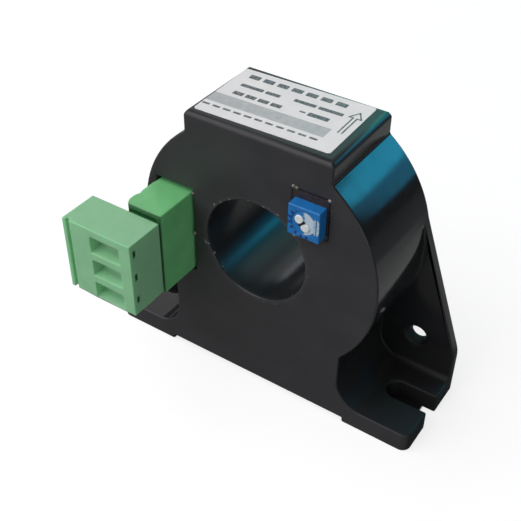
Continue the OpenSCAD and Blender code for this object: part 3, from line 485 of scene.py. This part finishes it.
# Each pass is: from and to angle between the faces, rounding, and the reach from the bore's axis
wholePart = 99  # a reach past every edge of the part
roundedCopy("housingShell", {"node": "housing", "passes": [(60, 180, 0.4, wholePart), (30, 60, 0.3, 12)],
                             "segments": 3, "material": blackAbs, "body": "root", "slot": "housing_plastic",
                             "reshape": shapeRear})
roundedCopy("headerShell", {"node": "header", "passes": [(60, 180, 0.2, wholePart), (20, 60, 0.1, wholePart)],
                            "segments": 2, "material": headerPbt, "body": "root", "slot": "header_plastic"})
roundedCopy("plugShell", {"node": "plug_body", "passes": [(30, 180, 0.15, wholePart)], "segments": 2,
                          "material": plugPolyamide, "body": "plug", "slot": "plug_plastic",
                          "reshape": deepenEntries})
roundedCopy("trimmerCase", {"node": "trimmer_body", "passes": [(30, 180, 0.22, wholePart)], "segments": 3,
                            "material": trimmerCasePlastic, "body": "root", "slot": "trimmer_case"})

# Screws, cages, contacts and pins with their edges broken
for n in (1, 2, 3):
    for name, node, material, body, slot, edge in (
            ("clampScrew", "clamp_screw", zincSteel, f"screw_{n}", "screw_steel", 0.1),
            ("clampCage", "clamp_cage", zincSteel, f"cage_{n}", "screw_steel", 0.07),
            ("plugContact", "plug_contact", rolledBrass, "plug", "contact_brass", 0.06),
            ("headerPin", "header_pin", tinPlate, "root", "tinned_metal", 0.1)):
        roundedCopy(f"{name}{n}", {"node": f"{node}_{n}", "passes": [(50, 180, edge, wholePart)], "segments": 2,
                                   "material": material, "body": body, "slot": slot})


def addCopy(bm, other, matrix):
    bmesh.ops.transform(other, matrix=matrix, verts=other.verts)
    spare = bpy.data.meshes.new("spare")
    other.to_mesh(spare)
    other.free()
    bm.from_mesh(spare)
    bpy.data.meshes.remove(spare)


# A thin slab with rounded corners, laid by the matrix, whose lengths are mm too
def addSlab(bm, size, corner, place):
    slab = bmesh.new()
    bmesh.ops.create_cube(slab, size=1, matrix=Matrix.Diagonal((*size, 1)))
    upright = [e for e in slab.edges if abs(e.verts[0].co.z - e.verts[1].co.z) > size[2] / 2]
    bmesh.ops.bevel(slab, geom=upright, offset=corner, offset_type="OFFSET", segments=4, profile=0.5,
                    affect="EDGES", material=-1)
    addCopy(bm, slab, Matrix.Scale(mm, 4) @ place)


# Resin that closes the gap between the trimmer and its window, a little below the front face
resinCollar = {"size": (6.88, 8.08, 0.7), "centre": (10.76, -9.3, 12.572), "corner": 0.3}
bm = bmesh.new()
addSlab(bm, resinCollar["size"], resinCollar["corner"], Matrix.Translation(resinCollar["centre"])
        @ Matrix.Rotation(pi / 2, 4, "X"))
newPiece("trimmerResin", bm, darkResin, "root")

# Beads of the same resin at the corners of the two openings in the front, where it crept out in uneven drops;
# their pale colour is painted glints
resinGlintBeads = {"radii": (0.36, 0.3168, 0.2736, 0.36, 0.3168), "flat": 0.5, "y": -9.75,
              "places": ((7.5, 16.9), (14.2, 16.7), (-13.1, 7.3), (-13.15, -1.6), (8.1, 16.8))}
bm = bmesh.new()
for radius, (x, z) in zip(resinGlintBeads["radii"], resinGlintBeads["places"]):
    bmesh.ops.create_icosphere(bm, subdivisions=3, radius=radius * mm, matrix=Matrix.Translation(
        Vector((x, resinGlintBeads["y"], z)) * mm) @ Matrix.Diagonal((1, resinGlintBeads["flat"], 1, 1)))
newPiece("resinGlintBeads", bm, glintResin, "root")

# The plug's test slots are too deep for the light to reach their bottoms, so dark slabs there paint that shade
testSlot = {"size": (1.6, 0.9, 0.1), "corner": 0.05, "x": -14.05, "y": -25.45, "rise": 0.7}
bm = bmesh.new()
for pole in plugEntry["poles"]:
    addSlab(bm, testSlot["size"], testSlot["corner"], Matrix.Translation(
        (testSlot["x"], testSlot["y"], pole + testSlot["rise"])) @ Matrix.Rotation(pi / 2, 4, "Y"))
newPiece("testSlotBottoms", bm, slotShadePolyamide, "plug")

# Label: a film on the block's top, with plain bars, a grey field and an arrow along the bore. A bar is its left
# end, middle, length and height
labelLook = {"film": (25.8, 16.35, 0.1), "corner": 0.5, "centre": (-0.6, 0.15), "turn": 1.5, "top": 23.82,
             "ink": 0.02, "barCorner": 0.12,
             "rows": ({"start": -10.8, "pitch": 2.86, "count": 7, "size": (2.1, 1.25), "y": 6.05},
                      {"start": -12.7, "pitch": 2.06, "count": 11, "size": (1.45, 0.5), "y": -5.8}),
             "bars": ((-10.5, 2.7, 4.5, 0.9), (-5.5, 2.7, 2.8, 0.9), (-0.1, 3.1, 4.2, 0.9), (4.6, 3.1, 4.6, 0.9),
                      (-10.2, -0.2, 2.0, 1.05), (-7.7, -0.2, 2.0, 1.05), (-5.2, -0.2, 2.0, 1.05),
                      (-2.7, -0.2, 2.0, 1.05), (2.5, 0.4, 1.1, 0.45), (4.1, 0.4, 3.9, 1.1)),
             "field": (-12.9, -3.2, 22.6, 2.9),
             "arrow": {"x": 11.3, "shaft": 0.35, "barb": 1.1, "tail": -2.0, "neck": 3.3, "tip": 5.2, "line": 0.26,
                       "corner": 0.1}}


def makeLabel(look):
    arrow, ink = look["arrow"], look["ink"]
    filmTop = look["top"] - ink
    onTop = Matrix.Translation((*look["centre"], 0)) @ Matrix.Rotation(radians(look["turn"]), 4, "Z")
    film, printed, field = bmesh.new(), bmesh.new(), bmesh.new()
    addSlab(film, look["film"], look["corner"], onTop @ Matrix.Translation((0, 0, filmTop - look["film"][2] / 2)))

    def bar(bm, left, y, length, height):
        addSlab(bm, (length, height, ink), look["barCorner"],
                onTop @ Matrix.Translation((left + length / 2, y, filmTop + ink / 2)))

    for row in look["rows"]:
        for n in range(row["count"]):
            bar(printed, row["start"] + n * row["pitch"], row["y"], *row["size"])
    for place in look["bars"]:
        bar(printed, *place)
    bar(field, *look["field"])
    for side in (-1, 1):
        shaft, barb = arrow["x"] + arrow["shaft"] * side, arrow["x"] + arrow["barb"] * side
        corners = [Vector(p) for p in ((shaft, arrow["tail"]), (shaft, arrow["neck"]), (barb, arrow["neck"]),
                                       (arrow["x"], arrow["tip"]))]
        for start, end in zip(corners, corners[1:]):
            along, middle = end - start, (start + end) / 2
            addSlab(printed, (along.length + arrow["line"], arrow["line"], ink), arrow["corner"],
                    onTop @ Matrix.Translation((*middle, filmTop + ink / 2))
                    @ Matrix.Rotation(along.angle_signed(Vector((1, 0))), 4, "Z"))
    labelFilm = newPiece("labelFilm", film, labelPolyester, "root")
    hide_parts("label")
    for name, bm, material in (("labelPrint", printed, labelInk), ("labelField", field, greyInk)):
        newPiece(name, bm, material, "root")


makeLabel(labelLook)

# Trimmer: the dial's ticks on the case (degrees), and a rotor with two lobes beside its slot. Fronts and backs
# are along Y, sizes are width, height and thickness, and a sink is how far a piece goes into the one behind it
trimmerLook = {"centre": (10.76, 12.0218), "front": -11.8,
               "ticks": (145, 168, 192, 214, 238, 262, 285, 343), "tickRadius": 2.62, "tick": (0.6, 0.4, 0.03),
               "tickLift": 0.005, "tickCorner": 0.1,
               "lacquer": (1.05, 3.2, 0.06), "lacquerPlace": (2.42, 0.15), "lacquerCorner": 0.6,
               "discRadius": 2.2, "discFront": -11.72, "discBack": -10.0, "discEdge": 0.1,
               "knobFront": -12.02, "knobSink": 0.1, "knobTurn": 133, "knobShift": -0.2,
               "lobeRadius": 0.8, "lobeReach": 0.86, "lobeEdge": 0.15,
               "slot": (0.42, 1.35, 0.2), "slotSink": 0.09, "slotCorner": 0.1}


# From flat drawings to the trimmer's front: x stays, y turns up to z, and z comes forward
def onTrimmer(x, z, y, turn=0):
    centre = trimmerLook["centre"]
    return (Matrix.Translation((centre[0] + x, y, centre[1] + z)) @ Matrix.Rotation(pi / 2, 4, "X")
            @ Matrix.Rotation(radians(turn), 4, "Z"))


def addDisc(bm, radius, front, back, edge, x, z):
    disc = bmesh.new()
    bmesh.ops.create_cone(disc, cap_ends=True, segments=48, radius1=radius, radius2=radius, depth=back - front)
    rim = [e for e in disc.edges if all(v.co.z > 0 for v in e.verts)]
    bmesh.ops.bevel(disc, geom=rim, offset=edge, offset_type="OFFSET", segments=3, profile=0.5, affect="EDGES",
                    material=-1)
    addCopy(bm, disc, Matrix.Scale(mm, 4) @ onTrimmer(x, z, (front + back) / 2))


def makeTrimmer(look):
    ticks, lacquer, disc, knob, slot = [bmesh.new() for n in range(5)]
    for angle in look["ticks"]:
        x, z = look["tickRadius"] * cos(radians(angle)), look["tickRadius"] * sin(radians(angle))
        addSlab(ticks, look["tick"], look["tickCorner"],
                onTrimmer(x, z, look["front"] - look["tickLift"], turn=angle))
    newPiece("trimmerTicks", ticks, navyInk, "root")
    addSlab(lacquer, look["lacquer"], look["lacquerCorner"], onTrimmer(*look["lacquerPlace"], look["front"]))
    newPiece("sealLacquer", lacquer, sealLacquer, "root")
    addDisc(disc, look["discRadius"], look["discFront"], look["discBack"], look["discEdge"], 0, 0)
    rotor = newPiece("rotorDisc", disc, blueWhiteNylon, "rotor")
    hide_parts("trimmer_rotor")
    turn = look["knobTurn"]
    for side in (-1, 1):
        x = look["knobShift"] + side * look["lobeReach"] * cos(radians(turn))
        z = side * look["lobeReach"] * sin(radians(turn))
        addDisc(knob, look["lobeRadius"], look["knobFront"], look["discFront"] + look["knobSink"],
                look["lobeEdge"], x, z)
    newPiece("rotorKnob", knob, rotorNylon, "rotor")
    # A dark slab in the rotor's slot, as painted shade
    addSlab(slot, look["slot"], look["slotCorner"],
            onTrimmer(look["knobShift"], 0, look["knobFront"] + look["slotSink"], turn=turn))
    newPiece("rotorSlot", slot, slotShadeNylon, "rotor")


makeTrimmer(trimmerLook)
print("pieces made")

# Soft boxes and coloured panes round the part: where each stands from the bore, distance and size in metres,
# power in watts
studioLight = {
    "key": {"from": (-0.5, -0.5, 0.75), "distance": 1.0, "size": (1.5, 1.5), "power": 14.5, "colour": "#ffffff"},
    "fill": {"from": (0.85, -0.5, 0.12), "distance": 0.9, "size": (0.8, 0.4), "power": 1.5, "colour": "#f2fdf6"},
    "backGlow": {"from": (-0.524, 0.603, 0.602), "distance": 0.9, "size": (0.41, 0.32), "power": 0.42,
                 "colour": "#ffffff"},
    "tealPane": {"from": (0.443, 0.799, 0.407), "distance": 0.7, "size": (0.31, 0.147), "power": 2.2,
                 "colour": "#2193b6"},
    "lowPane": {"from": (0.504, 0.838, 0.208), "distance": 0.7, "size": (0.31, 0.147), "power": 0.8,
                "colour": "#2388ae"},
    "midPane": {"from": (0.058, 0.667, 0.743), "distance": 0.9, "size": (0.75, 0.24), "power": 0.7,
                "colour": "#c0c8d0"},
    "streakPane": {"from": (-0.596, 0.662, 0.454), "distance": 0.9, "size": (0.13, 0.12), "power": 0.16,
                   "colour": "#d5dcea"},
    "seaPane": {"from": (-0.064, 0.911, 0.407), "distance": 0.7, "size": (0.50, 0.22), "power": 3.4,
                "colour": "#35a39a"},
    "highPane": {"from": (0.280, 0.688, 0.669), "distance": 0.7, "size": (0.36, 0.22), "power": 0.35,
                 "colour": "#3a9c9c"}}
for name, look in studioLight.items():
    light = bpy.data.lights.new(name, "AREA")
    light.shape = "RECTANGLE"
    light.size, light.size_y = look["size"]
    light.energy = look["power"]
    light.color = toLinear(look["colour"])[:3]
    holder = bpy.data.objects.new(name, light)
    scene.collection.objects.link(holder)
    holder.visible_diffuse = not name.endswith("Pane")  # the panes are only seen in the gloss
    towards = Vector(look["from"]).normalized()
    turn = towards.to_track_quat("Z", "Y").to_matrix().to_4x4()
    holder.matrix_world = Matrix.Translation(towards * look["distance"]) @ turn

# Pale paper that the camera sees overexposed, as in a cut-out photograph, while the part mirrors a grey table
# with a lighter band behind the part. Right under the foot there is no glow and the paper is painted near black as
# a painted shadow, so its slots look down into the dark. Radius in metres; the band starts along Y and ends along
# X + Y
floorLook = {"radius": 0.8, "segments": 96, "rough": 0.9, "specular": 0.1,
             "colour": "#9c9c9c", "fleck": "#989898", "fleckSize": 40, "glow": 0.78,
             "foot": (30.8, 6.0), "fade": 0.4, "shade": "#1c1c1c",
             "band": 0.21, "bandStart": (8, 30), "bandEnd": (184, 170)}


def paperFloor(look):
    material, tree, shader, place = newMaterial("pale paper", {
        "Roughness": look["rough"], "Specular IOR Level": look["specular"], "Emission Color": (1, 1, 1, 1)})
    axes = addNode(tree, "ShaderNodeSeparateXYZ", {"Vector": place}).outputs
    path = addNode(tree, "ShaderNodeLightPath").outputs
    clear = []
    for axis, half in zip("XY", look["foot"]):
        away = addNode(tree, "ShaderNodeMath", {0: axes[axis]}, operation="ABSOLUTE").outputs[0]
        clear.append(addNode(tree, "ShaderNodeMapRange", {"Value": away, "From Min": half * mm,
                                                          "From Max": (half + look["fade"]) * mm}).outputs[0])
    outside = addNode(tree, "ShaderNodeMath", {0: clear[0], 1: clear[1]}, operation="MAXIMUM").outputs[0]
    slant = addNode(tree, "ShaderNodeMath", {0: axes["X"], 1: axes["Y"]}, operation="ADD").outputs[0]
    mirrored = path["Is Glossy Ray"]
    for measure, (start, end), full in ((axes["Y"], look["bandStart"], look["band"]), (slant, look["bandEnd"], 1)):
        share = addNode(tree, "ShaderNodeMapRange", {"Value": measure, "From Min": start * mm,
                                                     "From Max": end * mm, "To Max": full}).outputs[0]
        mirrored = addNode(tree, "ShaderNodeMath", {0: mirrored, 1: share}, operation="MULTIPLY").outputs[0]
    seen = addNode(tree, "ShaderNodeMath", {0: path["Is Camera Ray"], 1: look["glow"]}, operation="MULTIPLY")
    both = addNode(tree, "ShaderNodeMath", {0: seen.outputs[0], 1: mirrored}, operation="ADD").outputs[0]
    glow = addNode(tree, "ShaderNodeMath", {0: outside, 1: both}, operation="MULTIPLY").outputs[0]
    paper = patchyColour(tree, place, look["fleckSize"], look["colour"], look["fleck"])
    # Under the foot the paper is near black: a painted shadow
    shaded = addNode(tree, "ShaderNodeMix", {"Factor": outside, "A": toLinear(look["shade"]), "B": paper},
                     data_type="RGBA")
    tree.links.new(glow, shader.inputs["Emission Strength"])
    tree.links.new(shaded.outputs["Result"], shader.inputs["Base Color"])
    return material


bm = bmesh.new()
bmesh.ops.create_circle(bm, cap_ends=True, radius=floorLook["radius"], segments=floorLook["segments"],
                        matrix=Matrix.Translation((0, 0, cadBox[0].z)))
mesh = bpy.data.meshes.new("floor")
bm.to_mesh(mesh)
bm.free()
mesh.materials.append(paperFloor(floorLook))
floor = bpy.data.objects.new("floor", mesh)
scene.collection.objects.link(floor)

# The room is dark in the reflections, and the backdrop behind the floor is white
roomLook = {"mirrored": 0.06, "seen": 1}
world = bpy.data.worlds.new("studio")
scene.world = world
world.use_nodes = True
sky = world.node_tree
cameraRay = addNode(sky, "ShaderNodeLightPath").outputs["Is Camera Ray"]
tone = addNode(sky, "ShaderNodeMapRange", {"Value": cameraRay, "To Min": roomLook["mirrored"],
                                           "To Max": roomLook["seen"]}).outputs[0]
sky.links.new(tone, sky.nodes["Background"].inputs["Strength"])
sky.nodes["Background"].inputs["Color"].default_value = (1, 1, 1, 1)
print("light and floor made")
